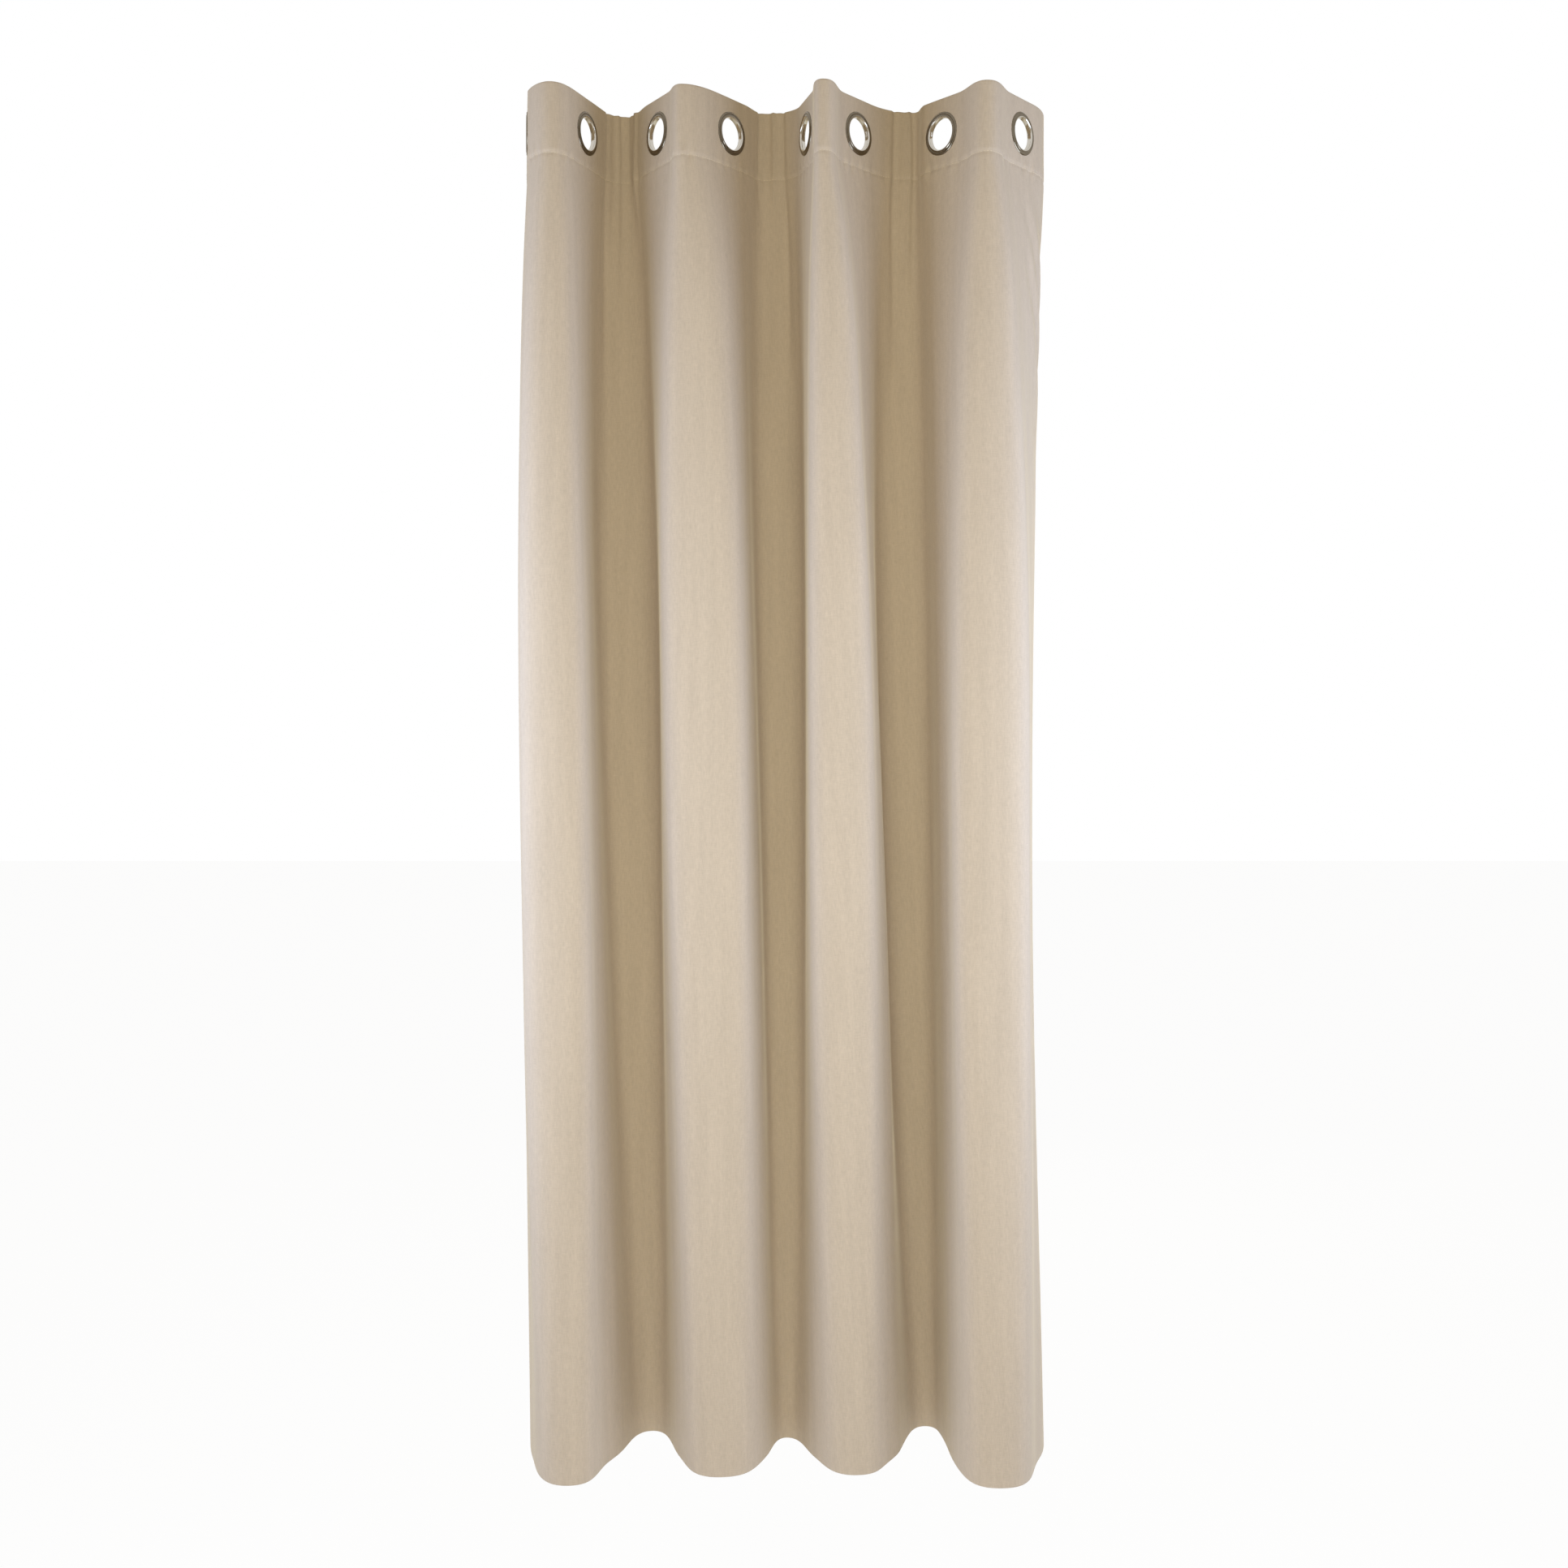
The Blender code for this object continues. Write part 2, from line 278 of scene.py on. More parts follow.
# small creases where the stiff heading is squeezed in the rear folds
creases = {
    # each fold's number, and its creases' places beside the fold line
    "places": ((1, (-0.030, -0.011, 0.006, 0.022)), (3, (-0.018, 0.004, 0.020)), (5, (-0.012, 0.010))),
    "lengths": (0.18, 0.40, 0.29, 0.15),
    "fade": 0.12,
    "heights": (-0.0034, 0.0040),
    "width": 0.0028,
    "widening": 0.012,  # for each metre down
    "sway": 0.0015,
    "swayScale": 21.0,
}

# the heading's seam draws in, puckers, and stands a small step out above
seamShape = {
    "line": 0.002,
    "groove": 0.0009,
    "grooveWidth": 0.0022,
    "pucker": 0.0008,
    "puckers": {"seed": 21, "count": 8, "uScale": 420.0, "zScale": 0.0},
    "puckerWidth": 0.010,
    "step": 0.0004,
    "stepHeight": 0.004,
}

# drag lines from the last eyelet to the edge
drag = {
    "reach": 0.11,
    "rise": 0.05,
    "z": -0.22,
    "spread": 0.15,
    "depth": 0.0018,
    "lean": (0.9, 0.5),
    "spacing": 120.0,
    "wander": 2.0,
    "wanderScale": (30.0, 17.0),
}


def waves(u, z, seed, count, uScale, zScale):
    # a sum of slow waves that never repeats over the sheet
    rng = np.random.default_rng(seed)
    total = np.zeros_like(u)
    for _ in range(count):
        ku = rng.uniform(0.5, 1.0) * uScale * rng.choice((-1, 1))
        kz = rng.uniform(0.4, 1.0) * zScale * rng.choice((-1, 1))
        phase = rng.uniform(0, math.tau)
        total += np.sin(ku * u + kz * z + phase)
    return total / math.sqrt(count)


def foldU(index):
    return cloth["edge"] + cloth["pitch"] * (index + 0.5)


def reliefAt(u, z):
    # how far the cloth stands towards the room from its smooth shape
    below = smoothStep((cloth["seam"] - z) / relief["stillness"])
    depth = relief["foldDepth"] * below * waves(u, z, **relief["folds"])
    kept = relief["headingShare"] + (1 - relief["headingShare"]) * below
    depth += relief["rippleDepth"] * kept * waves(u, z, **relief["ripples"])
    for index, places in creases["places"]:
        for n, place in enumerate(places):
            length = creases["lengths"][(n + index) % 4]
            sway = creases["sway"] * np.sin(z * creases["swayScale"] + n * 2.0)
            middle = foldU(index) + place + sway
            fade = smoothStep((z - (cloth["top"] - length)) / creases["fade"])
            width = creases["width"] + creases["widening"] * (cloth["top"] - z)
            depth += creases["heights"][n % 2] * fade * np.exp(-((u - middle) / width) ** 2)
    seam = z - cloth["seam"] - seamShape["line"]
    pucker = waves(u, z * 0, **seamShape["puckers"])
    depth -= seamShape["groove"] * np.exp(-(seam / seamShape["grooveWidth"]) ** 2)
    depth += seamShape["pucker"] * np.exp(-(seam / seamShape["puckerWidth"]) ** 2) * pucker
    depth += seamShape["step"] * smoothStep((z - cloth["seam"]) / seamShape["stepHeight"])
    edge = smoothStep((u - (cloth["width"] - drag["reach"])) / drag["rise"])
    edge = edge * np.exp(-((z - drag["z"]) / drag["spread"]) ** 2)
    across, down = drag["lean"]
    uScale, zScale = drag["wanderScale"]
    wander = drag["wander"] * np.sin(u * uScale + z * zScale)
    lines = np.sin((u * across + z * down) * drag["spacing"] + wander)
    depth += drag["depth"] * edge * lines
    return depth


def hung(u, z, back):
    # the place of a point of the cloth, laid at u and z, this far behind the face cloth's middle
    xy = lookUp(table, u, z)
    n = lookUp(normals, u, z)
    n /= np.linalg.norm(n, axis=1, keepdims=True)
    out = back - reliefAt(u, z)
    return np.stack((xy[:, 0] + n[:, 0] * out, xy[:, 1] + n[:, 1] * out, z), axis=1)


rowSpacing = {
    "facing": 0.0025,
    "heading": 0.002,
    "upper": 0.005,
    "upperEnd": -0.45,
    "lower": 0.008,
    "turnSteps": 6,
    "facingEase": 0.016,  # the height over which the layers spread apart above the seam
    "hemEase": 0.008,
    "facingLip": 0.003,  # how far the facing reaches below the seam
    "nearSeam": 0.012,
    "nearHem": 0.012,
}


def sheetRows():
    # heights and offsets from the facing's lower edge, over the top, down the face and round the hem
    rows = []
    facing, hemBack, stitched = cloth["facingBack"], cloth["hemBack"], cloth["stitchedBack"]
    lowest = cloth["seam"] - rowSpacing["facingLip"]
    for z in np.arange(lowest, cloth["top"] - 0.0015, rowSpacing["facing"]):
        share = float(smoothStep(np.array((z - cloth["seam"] - 0.001) / rowSpacing["facingEase"])))
        rows.append((z, stitched + (facing - stitched) * share))
    turns = [math.pi * i / rowSpacing["turnSteps"] for i in range(rowSpacing["turnSteps"] + 1)]
    for angle in turns:
        height = cloth["top"] - facing / 2 + facing / 2 * math.sin(angle)
        rows.append((height, facing / 2 * (1 + math.cos(angle))))
    z = cloth["top"] - 0.003
    headingEnd = cloth["seam"] - rowSpacing["nearSeam"]
    lowerEnd = cloth["hem"] + rowSpacing["nearHem"]
    for end, part in ((headingEnd, "heading"), (rowSpacing["upperEnd"], "upper"), (lowerEnd, "lower")):
        while z > end:
            rows.append((z, 0.0))
            z -= rowSpacing[part]
    for z in np.linspace(cloth["hem"] + 0.008, cloth["hem"] + 0.001, 3):
        rows.append((z, 0.0))
    for angle in turns:
        height = cloth["hem"] + hemBack / 2 - hemBack / 2 * math.sin(angle)
        rows.append((height, hemBack / 2 * (1 - math.cos(angle))))
    for z in np.linspace(cloth["hem"] + 0.003, cloth["hem"] + cloth["hemTurn"], 6):
        share = float(smoothStep(np.array((cloth["hem"] + cloth["hemTurn"] - z) / rowSpacing["hemEase"])))
        rows.append((z, stitched + (hemBack - stitched) * share))
    return np.array(rows)


def gridMesh(name, columns, rows):
    # a flat grid, with the column and the row of each vertex
    mesh = bmesh.new()
    bmesh.ops.create_grid(mesh, x_segments=columns, y_segments=rows, size=0.5)
    data = bpy.data.meshes.new(name)
    mesh.to_mesh(data)
    mesh.free()
    co = np.empty(len(data.vertices) * 3)
    data.vertices.foreach_get("co", co)
    co = co.reshape(-1, 3)
    column = np.rint((co[:, 0] + 0.5) * columns).astype(int)
    row = rows - np.rint((co[:, 1] + 0.5) * rows).astype(int)
    return data, column, row


def faceVertices(data):
    corners = np.empty(len(data.loops), dtype=int)
    data.loops.foreach_get("vertex_index", corners)
    return corners


def addObject(name, data, material):
    data.materials.clear()
    data.materials.append(material)
    obj = bpy.data.objects.new(name, data)
    bpy.context.scene.collection.objects.link(obj)
    return obj


def roundHoles(u, z):
    # draws the points round each eyelet to a circle that its flange covers
    for centre in eyeletU:
        r = np.hypot(u - centre, z)
        near = r > cloth["holeRadius"] - cloth["holeInside"]
        ring = near & (r < cloth["holeRadius"] + cloth["holeOutside"])
        scale = cloth["holeRadius"] / np.maximum(r, 1e-6)
        u = np.where(ring, centre + (u - centre) * scale, u)
        z = np.where(ring, z * scale, z)
    return u, z


def thickSheet(name, u, rows):
    # the sheet as one thick mesh, with its points' places on the cloth and its faces' segments
    columns = len(u) - 1
    data, column, row = gridMesh(name, columns, len(rows) - 1)
    pointU, pointZ, back = u[column], rows[row, 0], rows[row, 1]
    along = np.concatenate(([0.0], np.cumsum(np.hypot(np.diff(rows[:, 0]), np.diff(rows[:, 1])))))
    laid = np.stack((pointU, -along[row]), axis=1)
    corners = faceVertices(data).reshape(-1, 4)
    middleU, middleZ = pointU[corners].mean(axis=1), pointZ[corners].mean(axis=1)
    segment = data.attributes.new("segment", "INT", "FACE")
    segment.data.foreach_set("value", np.floor(middleU / cloth["pitch"] + 0.5).astype(np.int32))
    inHole = np.zeros(len(corners), dtype=bool)
    for centre in eyeletU:
        inHole |= np.hypot(middleU - centre, middleZ) < cloth["holeRadius"]
    pointU, pointZ = roundHoles(pointU, pointZ)
    data.vertices.foreach_set("co", hung(pointU, pointZ, back).ravel())
    mesh = bmesh.new()
    mesh.from_mesh(data)
    mesh.faces.ensure_lookup_table()
    bmesh.ops.delete(mesh, geom=[mesh.faces[i] for i in np.nonzero(inHole)[0]], context="FACES_ONLY")
    mesh.to_mesh(data)
    mesh.free()
    data.shade_smooth()
    obj = addObject(name, data, fabric)
    solid = obj.modifiers.new("thickness", "SOLIDIFY")
    solid.thickness = cloth["thickness"]
    solid.offset = 0
    graph = bpy.context.evaluated_depsgraph_get()
    thick = bpy.data.meshes.new_from_object(obj.evaluated_get(graph))
    bpy.data.objects.remove(obj)
    return thick, np.concatenate((laid, laid))


def cutEnds(corners, count):
    # the faces that close a cut, between the front of the sheet and its back, this many points later
    edges = np.concatenate([corners[:, [i, (i + 1) % 4]] for i in range(4)])
    low, high = edges.min(axis=1).astype(np.int64), edges.max(axis=1)
    _, first, uses = np.unique(low * 10 ** 7 + high, return_index=True, return_counts=True)
    once = edges[first[uses == 1]]
    once = once[(once < count).all(axis=1)]
    return np.stack((once[:, 1], once[:, 0], once[:, 0] + count, once[:, 1] + count), axis=1)


def cutPiece(name, thick, laid, segment):
    # one segment of the thick sheet, shaded as part of the whole
    faceSegment = np.empty(len(thick.polygons), dtype=np.int32)
    thick.attributes["segment"].data.foreach_get("value", faceSegment)
    normal = np.empty(len(thick.vertices) * 3, dtype=np.float32)
    thick.vertices.foreach_get("normal", normal)
    co = np.empty(len(thick.vertices) * 3)
    thick.vertices.foreach_get("co", co)
    corners = faceVertices(thick).reshape(-1, 4)[faceSegment == segment]
    corners = np.concatenate((corners, cutEnds(corners, len(thick.vertices) // 2)))
    used, index = np.unique(corners, return_inverse=True)
    data = bpy.data.meshes.new(name)
    data.from_pydata(co.reshape(-1, 3)[used].tolist(), [], index.reshape(-1, 4).tolist())
    data.shade_smooth()
    layer = data.uv_layers.new(name="cloth")
    layer.data.foreach_set("uv", laid[corners.ravel()].ravel().astype(np.float32))
    data.normals_split_custom_set_from_vertices(normal.reshape(-1, 3)[used].tolist())
    return addObject(name, data, fabric)


def newMaterial(name):
    material = bpy.data.materials.new(name)
    material.use_nodes = True
    return material, material.node_tree.nodes, material.node_tree.links


def stretchedNoise(nodes, links, source, scale, detail):
    # noise drawn out along the cloth, one way or the other
    mapping = nodes.new("ShaderNodeMapping")
    mapping.inputs["Scale"].default_value = scale
    links.new(source, mapping.inputs["Vector"])
    noise = nodes.new("ShaderNodeTexNoise")
    noise.inputs["Scale"].default_value = 1.0
    noise.inputs["Detail"].default_value = detail
    noise.inputs["Roughness"].default_value = 0.6
    links.new(mapping.outputs["Vector"], noise.inputs["Vector"])
    return noise.outputs["Fac"]


def combine(nodes, links, operation, first, second):
    node = nodes.new("ShaderNodeMath")
    node.operation = operation
    for socket, value in zip(node.inputs, (first, second)):
        if isinstance(value, (int, float)):
            socket.default_value = value
        else:
            links.new(value, socket)
    return node.outputs["Value"]


# how fine each pattern is across and along the cloth, in waves for a metre, and its detail
weavePatterns = {
    "warp": ((1500, 110, 1), 1.0),
    "weft": ((110, 1300, 1), 1.0),
    "slub": ((420, 90, 1), 2.0),
    "drift": ((90, 6, 1), 3.0),
}


def makeWeave():
    # puts out how light each thread is and how high it stands, from the laid-out cloth in metres
    group = bpy.data.node_groups.new("weave", "ShaderNodeTree")
    group.interface.new_socket("Place", in_out="INPUT", socket_type="NodeSocketVector")
    group.interface.new_socket("Shade", in_out="OUTPUT", socket_type="NodeSocketFloat")
    group.interface.new_socket("Height", in_out="OUTPUT", socket_type="NodeSocketFloat")
    nodes, links = group.nodes, group.links
    place = nodes.new("NodeGroupInput").outputs["Place"]
    out = nodes.new("NodeGroupOutput")
    warp = stretchedNoise(nodes, links, place, *weavePatterns["warp"])
    weft = stretchedNoise(nodes, links, place, *weavePatterns["weft"])
    slub = stretchedNoise(nodes, links, place, *weavePatterns["slub"])
    drift = stretchedNoise(nodes, links, place, *weavePatterns["drift"])
    threads = combine(nodes, links, "ADD", warp, weft)
    slow = combine(nodes, links, "ADD", slub, drift)
    shade = combine(nodes, links, "ADD", combine(nodes, links, "MULTIPLY", threads, 0.5),
                    combine(nodes, links, "MULTIPLY", slow, 0.5))
    links.new(combine(nodes, links, "MULTIPLY", shade, 0.5), out.inputs["Shade"])
    links.new(threads, out.inputs["Height"])
    return group


fabricLook = {
    "dark": (0.490, 0.430, 0.388, 1),
    "light": (0.660, 0.580, 0.522, 1),
    "roughness": 0.85,
    "sheen": 0.7,
    "sheenRoughness": 0.35,
    "sheenTint": (1.0, 0.97, 0.93, 1),
    "specular": 0.25,
    "bump": 0.00016,
    "bumpStrength": 0.6,
    "darkBelow": 0.30,
    "lightAbove": 0.70,
}


def makeFabric():
    material, nodes, links = newMaterial("blackoutCloth")
    shader = nodes["Principled BSDF"]
    shader.inputs["Roughness"].default_value = fabricLook["roughness"]
    shader.inputs["Sheen Weight"].default_value = fabricLook["sheen"]
    shader.inputs["Sheen Roughness"].default_value = fabricLook["sheenRoughness"]
    shader.inputs["Sheen Tint"].default_value = fabricLook["sheenTint"]
    shader.inputs["Specular IOR Level"].default_value = fabricLook["specular"]
    place = nodes.new("ShaderNodeUVMap")
    place.uv_map = "cloth"
    weaving = nodes.new("ShaderNodeGroup")
    weaving.node_tree = weave
    links.new(place.outputs["UV"], weaving.inputs["Place"])
    ramp = nodes.new("ShaderNodeValToRGB")
    ramp.color_ramp.elements[0].position = fabricLook["darkBelow"]
    ramp.color_ramp.elements[0].color = fabricLook["dark"]
    ramp.color_ramp.elements[1].position = fabricLook["lightAbove"]
    ramp.color_ramp.elements[1].color = fabricLook["light"]
    links.new(weaving.outputs["Shade"], ramp.inputs["Fac"])
    links.new(ramp.outputs["Color"], shader.inputs["Base Color"])
    bump = nodes.new("ShaderNodeBump")
    bump.inputs["Strength"].default_value = fabricLook["bumpStrength"]
    bump.inputs["Distance"].default_value = fabricLook["bump"]
    links.new(weaving.outputs["Height"], bump.inputs["Height"])
    links.new(bump.outputs["Normal"], shader.inputs["Normal"])
    return material


threadLook = {
    "dark": (0.62, 0.54, 0.44, 1),
    "light": (0.82, 0.75, 0.65, 1),
    "roughness": 0.55,
    "sheen": 0.3,
}


def makeThread():
    material, nodes, links = newMaterial("seamThread")
    shader = nodes["Principled BSDF"]
    shader.inputs["Roughness"].default_value = threadLook["roughness"]
    shader.inputs["Sheen Weight"].default_value = threadLook["sheen"]
    place = nodes.new("ShaderNodeTexCoord")
    tone = stretchedNoise(nodes, links, place.outputs["Object"], (260, 260, 260), 1.0)
    ramp = nodes.new("ShaderNodeValToRGB")
    ramp.color_ramp.elements[0].color = threadLook["dark"]
    ramp.color_ramp.elements[1].color = threadLook["light"]
    links.new(tone, ramp.inputs["Fac"])
    links.new(ramp.outputs["Color"], shader.inputs["Base Color"])
    return material


nickelLook = {
    # the flange tones are painted dark, painted shade for dark reflections; the smear between them varies
    # at random
    "dark": (0.19, 0.163, 0.125, 1),
    "light": (0.30, 0.267, 0.215, 1),
    # a painted highlight: the inner wall's bright colour
    "wall": (0.86, 0.85, 0.82, 1),
    "smearScale": (90, 90, 90),
    "roughness": 0.09,
    "roughnessSpread": 0.10,
}


def makeNickel():
    material, nodes, links = newMaterial("nickel")
    shader = nodes["Principled BSDF"]
    shader.inputs["Metallic"].default_value = 1.0
    place = nodes.new("ShaderNodeTexCoord")
    smear = stretchedNoise(nodes, links, place.outputs["Object"], nickelLook["smearScale"], 3.0)
    tone = nodes.new("ShaderNodeValToRGB")
    tone.color_ramp.elements[0].color = nickelLook["dark"]
    tone.color_ramp.elements[1].color = nickelLook["light"]
    links.new(smear, tone.inputs["Fac"])
    # a painted highlight: the inner wall is painted bright
    wall = nodes.new("ShaderNodeAttribute")
    wall.attribute_name = "wall"
    paintedWallHighlight = nodes.new("ShaderNodeMix")
    paintedWallHighlight.data_type = "RGBA"
    links.new(wall.outputs["Fac"], paintedWallHighlight.inputs["Factor"])
    links.new(tone.outputs["Color"], paintedWallHighlight.inputs["A"])
    paintedWallHighlight.inputs["B"].default_value = nickelLook["wall"]
    links.new(paintedWallHighlight.outputs["Result"], shader.inputs["Base Color"])
    roughness = combine(nodes, links, "MULTIPLY_ADD", smear, nickelLook["roughnessSpread"])
    roughness.node.inputs[2].default_value = nickelLook["roughness"]
    links.new(roughness, shader.inputs["Roughness"])
    return material


weave = makeWeave()
fabric = makeFabric()
thread = makeThread()
nickel = makeNickel()

segmentEnds = [0.0] + eyeletU + [cloth["width"]]
segmentNames = ["left_edge"] + [f"fold_{i}" for i in range(1, eyeletCount)] + ["right_edge"]


def cutLine(index):
    # the places down the drop where the sheet is cut, at one eyelet
    z = np.linspace(cloth["top"], cloth["hem"], 60)
    return lookUp(table, np.full(len(z), eyeletU[index]), z), z


def followFolds(obj, segment):
    # bakes each segment's place into its mesh; the cut lines beside it and their mean slope are worked out
    # but not used
    if segment == eyeletCount:
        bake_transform(obj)
        return
    if segment == 0:
        line, z = cutLine(0)
        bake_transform(obj)
        return
    before, z = cutLine(segment - 1)
    after, z = cutLine(segment)
    slope = float((np.polyfit(z, before[:, 0], 1)[0] + np.polyfit(z, after[:, 0], 1)[0]) / 2)
    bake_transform(obj)


def stoodFor(segment):
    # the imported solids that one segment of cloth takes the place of
    nodes = []
    if segment == 0:
        nodes += ["left_margin", "left_margin_facing", "left_margin_stiffener", "left_hem"]
    for number in (segment, segment + 1):
        if 1 <= number <= eyeletCount:
            hem = "right_hem" if number == eyeletCount else f"bottom_hem_{number}"
            nodes += [f"{layer}_{number}" for layer in ("heading", "panel", "facing", "stiffener")]
            nodes.append(hem)
    return nodes


def columnLines():
    half = cloth["columnsPerPitch"] // 2
    count = cloth["columnsPerPitch"] * (eyeletCount - 1) + 2 * half
    u = np.linspace(0.0, cloth["width"], count + 1)
    turn = cloth["hemBack"] / 2
    return np.clip(u, turn, cloth["width"] - turn)


def makeCloth():
    thick, laid = thickSheet("cloth", columnLines(), sheetRows())
    for segment, name in enumerate(segmentNames):
        obj = cutPiece(f"cloth_{name}", thick, laid, segment)
        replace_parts(obj, *stoodFor(segment))
        followFolds(obj, segment)


sideHem = {
    "low": cloth["hem"] + 0.0015,
    "high": cloth["seam"] - 0.001,
    "rowHeight": 0.009,
    "stitched": 0.002,  # the width that lies flat at the inner edge
    "opened": 0.005,
    "turnSteps": 6,
}


def makeSideHem(name, segment, side):
    # the side edge turned over to the back
    back, width = cloth["hemBack"], cloth["sideTurn"]
    path = [(x, cloth["stitchedBack"]) for x in (width, width - sideHem["stitched"])]
    path += [(x, back) for x in np.linspace(width - sideHem["opened"], back / 2, 6)]
    for i in range(1, sideHem["turnSteps"] + 1):
        angle = math.pi * i / sideHem["turnSteps"]
        path.append((back / 2 - back / 2 * math.sin(angle), back / 2 * (1 + math.cos(angle))))
    path = np.array(path)
    rows = round((sideHem["high"] - sideHem["low"]) / sideHem["rowHeight"])
    data, column, row = gridMesh(name, len(path) - 1, rows)
    z = sideHem["low"] + (sideHem["high"] - sideHem["low"]) * row / rows
    u = path[column, 0] if side < 0 else cloth["width"] - path[column, 0]
    data.vertices.foreach_set("co", hung(u, z, path[column, 1]).ravel())
    corners = faceVertices(data)
    layer = data.uv_layers.new(name="cloth")
    layer.data.foreach_set("uv", np.stack((u, z), axis=1)[corners].ravel().astype(np.float32))
    data.shade_smooth()
    obj = addObject(name, data, fabric)
    solid = obj.modifiers.new("thickness", "SOLIDIFY")
    solid.thickness = cloth["thickness"]
    solid.offset = 0
    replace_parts(obj, "left_hem" if side < 0 else "right_hem")
    if side < 0:
        graph = bpy.context.evaluated_depsgraph_get()
        data = bpy.data.meshes.new_from_object(obj.evaluated_get(graph))
        obj.modifiers.clear()
        obj.data = data
    followFolds(obj, segment)


stitch = {
    "length": 0.0030,
    "spacing": 0.0042,
    "radius": 0.00030,
    "above": 0.0020,  # of the stitch line, above the heading's lower edge
    "endGap": 0.001,
    "lift": 0.0001,  # off the cloth's surface
    "outline": ((-0.5, 0.35), (-0.36, 1.0), (0.36, 1.0), (0.5, 0.35)),
    "sides": 5,
}


def stitchLine(name, segment, behind):
    # a row of small round-ended stitches along the heading's lower edge
    start, end = segmentEnds[segment], segmentEnds[segment + 1]
    count = int((end - start - 2 * stitch["endGap"]) / stitch["spacing"])
    centre = start + stitch["endGap"] + stitch["spacing"] * (np.arange(count) + 0.5)
    rings, sides = stitch["outline"], stitch["sides"]
    local = []
    for place, swell in rings:
        for i in range(sides):
            angle = math.tau * i / sides
            local.append((place * stitch["length"], swell * math.cos(angle), swell * math.sin(angle)))
    local = np.array(local)
    quads = []
    for ring in range(len(rings) - 1):
        for i in range(sides):
            a, b = ring * sides + i, ring * sides + (i + 1) % sides
            quads.append((a, b, b + sides, a + sides))
    caps = [tuple(reversed(range(sides))), tuple(range(len(local) - sides, len(local)))]
    u = (centre[:, None] + local[:, 0]).ravel()
    z = cloth["seam"] + stitch["above"] + np.tile(local[:, 1] * stitch["radius"], count)
    lift = np.tile(local[:, 2] * stitch["radius"], count)
    back = lift - cloth["thickness"] / 2 - stitch["lift"]
    if behind:
        back = lift + cloth["stitchedBack"] + cloth["thickness"] / 2 + stitch["lift"]
    faces = []
    for k in range(count):
        faces += [tuple(v + k * len(local) for v in face) for face in quads + caps]
    data = bpy.data.meshes.new(name)
    data.from_pydata(hung(u, z, back).tolist(), [], faces)
    data.shade_smooth()
    obj = addObject(name, data, thread)
    mesh = bmesh.new()
    mesh.from_mesh(data)
    bmesh.ops.recalc_face_normals(mesh, faces=mesh.faces)
    mesh.to_mesh(data)
    mesh.free()
    followFolds(obj, segment)


eyelet = {
    "steps": 72,
    "wallRadius": 21.6,  # inside this the metal is painted bright, a painted highlight
    # radius and height above the middle of the cloth, in millimetres, from the outer edge inwards
    "front": (
        (27.3, 0.35), (27.5, 0.8), (27.3, 1.25), (26.7, 1.65), (25.9, 1.95), (25.2, 2.05),
        (24.7, 1.98), (24.3, 1.82), (24.0, 1.75), (23.7, 1.82), (23.3, 2.1), (22.7, 2.4),
        (22.0, 2.55), (21.4, 2.5), (20.8, 2.15), (20.3, 1.5), (20.05, 0.6), (20.0, -0.6),
        (20.0, -2.2), (20.1, -3.6), (20.4, -4.4), (20.9, -4.75), (21.4, -4.75), (21.8, -4.5),
        (21.9, -4.2), (20.9, -4.1), (20.8, -2.4), (20.8, 0.3), (22.5, 0.35),
    ),
    "back": (
        (22.1, -2.65), (26.0, -2.65), (26.4, -3.0), (26.3, -3.4), (25.7, -3.85), (24.7, -4.15),
        (23.6, -4.3), (22.9, -4.25), (22.3, -4.05), (22.1, -3.7),
    ),
}


def eyeletTurn(number):
    # square to the stretch of cloth that carries the eyelet
    along = limbDirection(number - 1, 0.0)
    toRoom = Vector((along[1], -along[0], 0))
    place = Vector((eyeletX[number - 1], 0, 0))
    return Matrix.Translation(place) @ toRoom.to_track_quat("Z", "Y").to_matrix().to_4x4()


def turnedRing(name, profile, number):
    steps = eyelet["steps"]
    points = []
    for i in range(steps):
        angle = math.tau * i / steps
        for radius, height in profile:
            points.append((radius * math.cos(angle) / 1000, radius * math.sin(angle) / 1000, height / 1000))
    ring = len(profile)
    faces = []
    for i in range(steps):
        after = (i + 1) % steps
        for j in range(ring):
            k = (j + 1) % ring
            faces.append((i * ring + j, i * ring + k, after * ring + k, after * ring + j))
    data = bpy.data.meshes.new(name)
    data.from_pydata(points, [], faces)
    wall = [float(radius < eyelet["wallRadius"]) for radius, _ in profile] * steps
    data.attributes.new("wall", "FLOAT", "POINT").data.foreach_set("value", wall)
    mesh = bmesh.new()
    mesh.from_mesh(data)
    bmesh.ops.recalc_face_normals(mesh, faces=mesh.faces)
    bmesh.ops.transform(mesh, matrix=eyeletTurn(number), verts=mesh.verts)
    mesh.to_mesh(data)
    mesh.free()
    data.shade_smooth()
    obj = addObject(name, data, nickel)
    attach(obj, f"leaf_{number}")
    return obj


print("cloth")
makeCloth()
makeSideHem("side_hem_left", 0, -1)
makeSideHem("side_hem_right", eyeletCount, 1)

print("seam")
for segment, name in enumerate(segmentNames):
    stitchLine(f"stitches_front_{name}", segment, False)
    stitchLine(f"stitches_back_{name}", segment, True)

print("eyelets")
for number in range(1, eyeletCount + 1):
    for side in ("front", "back"):
        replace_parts(turnedRing(f"ring_{side}_{number}", eyelet[side], number), f"eyelet_{side}_{number}")

floor = {
    "z": -1.93,
    "reach": 8.0,
    "colour": (0.86, 0.86, 0.86, 1),
    "roughness": 0.9,
    "paleness": 0.96,  # how far the camera sees it as plain white
}


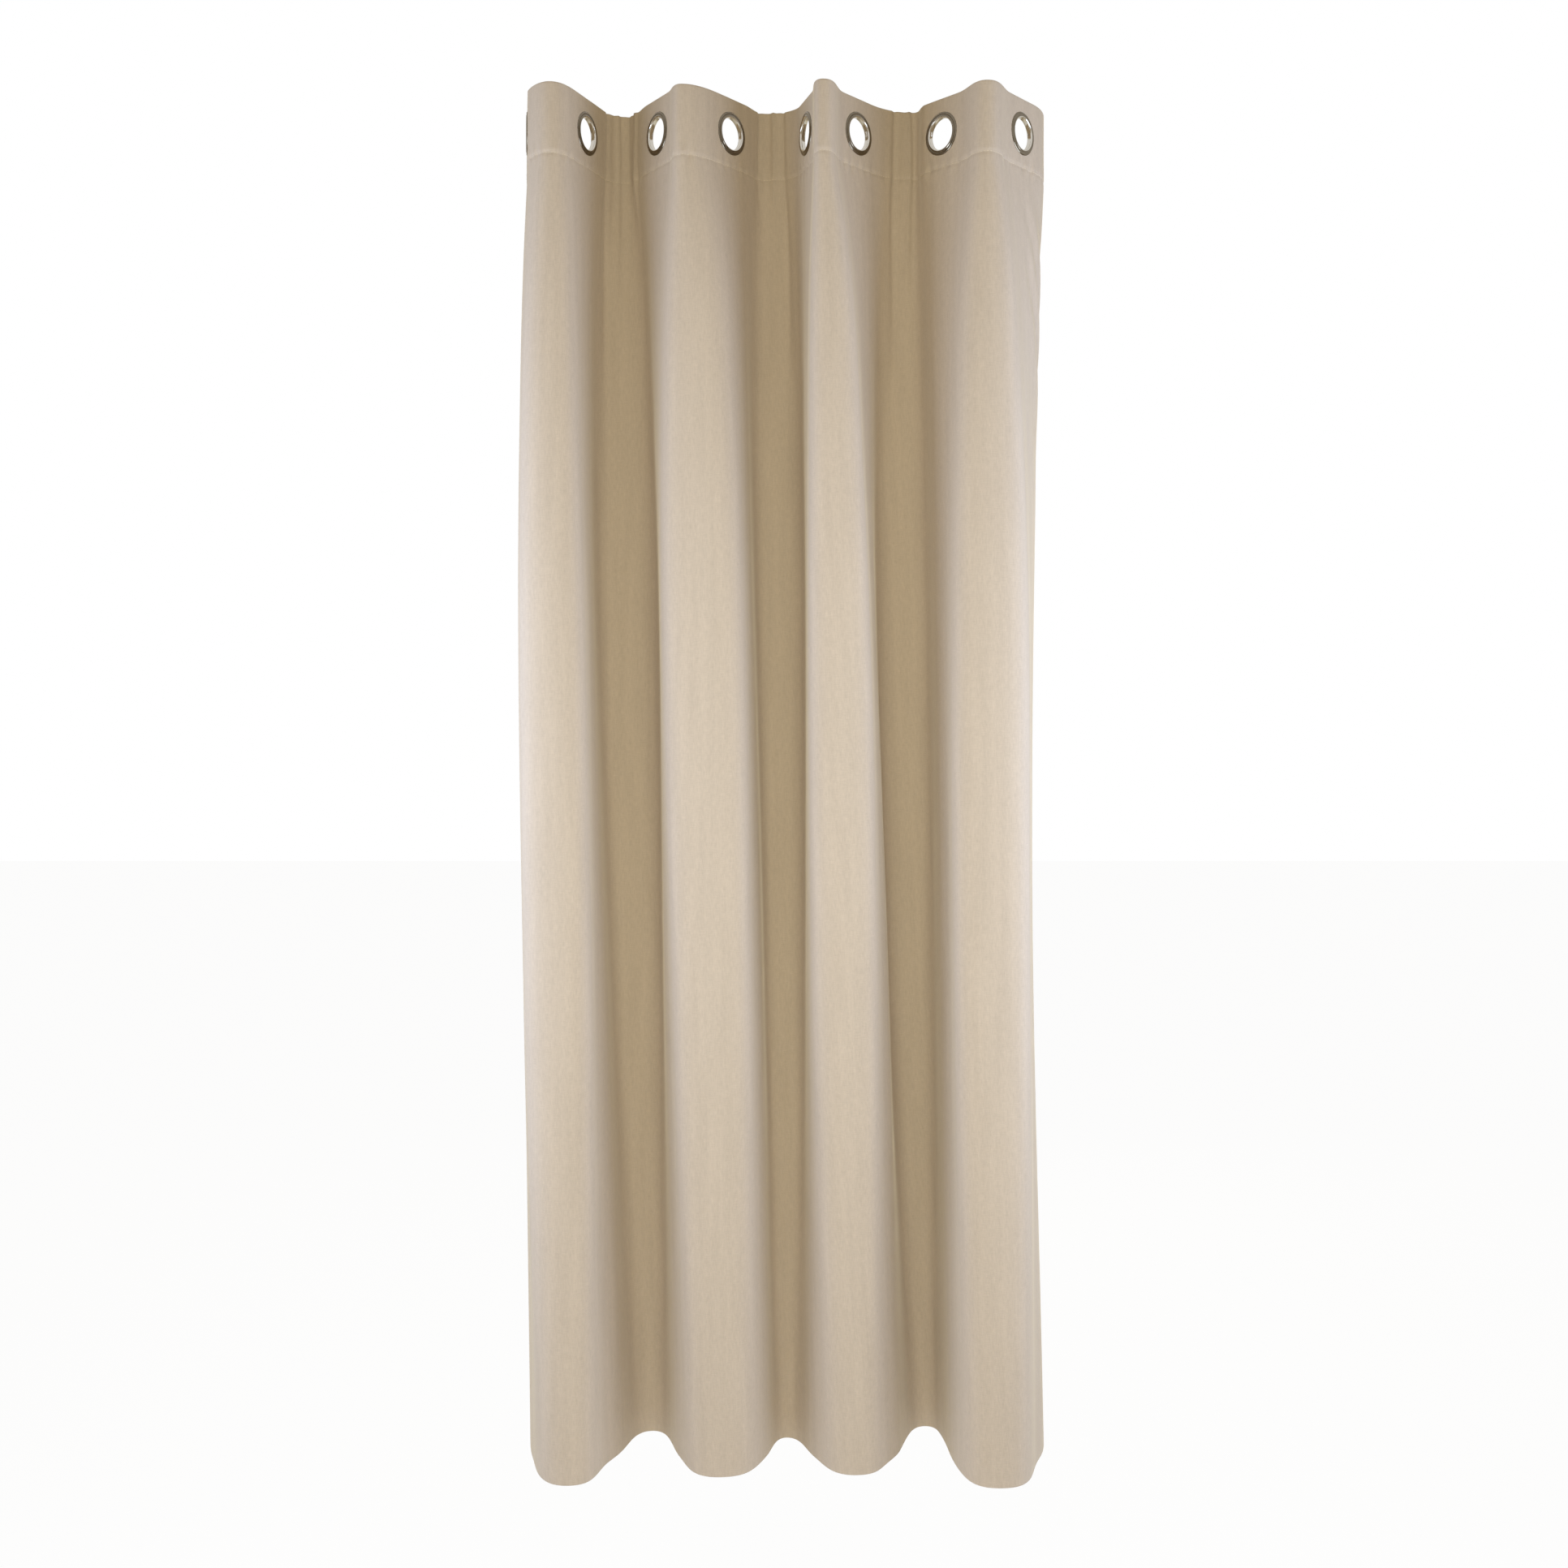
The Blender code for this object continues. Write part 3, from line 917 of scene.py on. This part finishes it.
def makeStage():
    mesh = bmesh.new()
    bmesh.ops.create_grid(mesh, x_segments=1, y_segments=1, size=floor["reach"])
    bmesh.ops.translate(mesh, verts=mesh.verts, vec=(0, 0, floor["z"]))
    data = bpy.data.meshes.new("floor")
    mesh.to_mesh(data)
    mesh.free()
    material, nodes, links = newMaterial("floorPaint")
    shader = nodes["Principled BSDF"]
    shader.inputs["Base Color"].default_value = floor["colour"]
    shader.inputs["Roughness"].default_value = floor["roughness"]
    glow = nodes.new("ShaderNodeEmission")
    path = nodes.new("ShaderNodeLightPath")
    mix = nodes.new("ShaderNodeMixShader")
    share = combine(nodes, links, "MULTIPLY", path.outputs["Is Camera Ray"], floor["paleness"])
    links.new(share, mix.inputs["Fac"])
    links.new(shader.outputs["BSDF"], mix.inputs[1])
    links.new(glow.outputs["Emission"], mix.inputs[2])
    links.new(mix.outputs["Shader"], nodes["Material Output"].inputs["Surface"])
    addObject("floor", data, material)


studio = {
    "world": 0.33,
    "worldColour": (1.0, 0.78, 0.45, 1),
    "mirrored": 0.50,  # how white the room looks in the metal
    "side": 15.4,
    "sideColour": (0.71, 0.82, 1.0),
    "sideSize": (1.0, 0.8),
    "sidePlace": (1.25, -0.46, -0.76),
    "front": 11.5,
    "fillColour": (1.0, 0.924, 0.62),
    "frontSize": 1.0,
    "frontPlace": (0.0, -1.6, -0.80),
    "back": 16.0,
    "backSize": 1.6,
    "backPlace": (0.5, 2.2, -0.50),
}


def makeLights():
    world = bpy.data.worlds.new("studio")
    bpy.context.scene.world = world
    world.use_nodes = True
    nodes, links = world.node_tree.nodes, world.node_tree.links
    background = nodes["Background"]
    background.inputs["Color"].default_value = studio["worldColour"]
    background.inputs["Strength"].default_value = studio["world"]
    bright = nodes.new("ShaderNodeBackground")
    bright.inputs["Color"].default_value = (1, 1, 1, 1)
    bright.inputs["Strength"].default_value = 1.0
    path = nodes.new("ShaderNodeLightPath")
    mix = nodes.new("ShaderNodeMixShader")
    shiny = combine(nodes, links, "MULTIPLY", path.outputs["Is Glossy Ray"], studio["mirrored"])
    links.new(combine(nodes, links, "MAXIMUM", path.outputs["Is Camera Ray"], shiny), mix.inputs["Fac"])
    links.new(background.outputs["Background"], mix.inputs[1])
    links.new(bright.outputs["Background"], mix.inputs[2])
    links.new(mix.outputs["Shader"], nodes["World Output"].inputs["Surface"])
    for side in (-1, 1):
        light = bpy.data.lights.new(f"softbox{side}", "AREA")
        light.shape = "RECTANGLE"
        light.size, light.size_y = studio["sideSize"]
        light.energy, light.color = studio["side"], studio["sideColour"]
        lamp = bpy.data.objects.new(f"softbox{side}", light)
        across, forward, height = studio["sidePlace"]
        lamp.location = (side * across, forward, height)
        target = Vector((0, 0, height)) - lamp.location
        lamp.rotation_euler = target.to_track_quat("-Z", "Y").to_euler()
        bpy.context.scene.collection.objects.link(lamp)
    for name, turn in (("front", 90), ("back", -90)):
        light = bpy.data.lights.new(f"{name}Fill", "AREA")
        light.size = studio[f"{name}Size"]
        light.energy, light.color = studio[name], studio["fillColour"]
        lamp = bpy.data.objects.new(f"{name}Fill", light)
        lamp.location = studio[f"{name}Place"]
        lamp.rotation_euler = (math.radians(turn), 0, 0)
        lamp.visible_camera = False
        lamp.visible_glossy = False
        bpy.context.scene.collection.objects.link(lamp)


view = {
    "lens": 36.9,
    "sensor": 36.0,
    "shiftY": -0.0782,
    "place": (0.0, -2.069, -0.679),
}


def makeCamera():
    lens = bpy.data.cameras.new("camera")
    lens.lens = view["lens"]
    lens.sensor_width = view["sensor"]
    lens.shift_y = view["shiftY"]
    camera = bpy.data.objects.new("camera", lens)
    camera.location = view["place"]
    camera.rotation_euler = (math.radians(90), 0, 0)
    bpy.context.scene.collection.objects.link(camera)
    bpy.context.scene.camera = camera


print("stage")
makeStage()
makeLights()
makeCamera()
bpy.context.scene.view_settings.view_transform = "Standard"
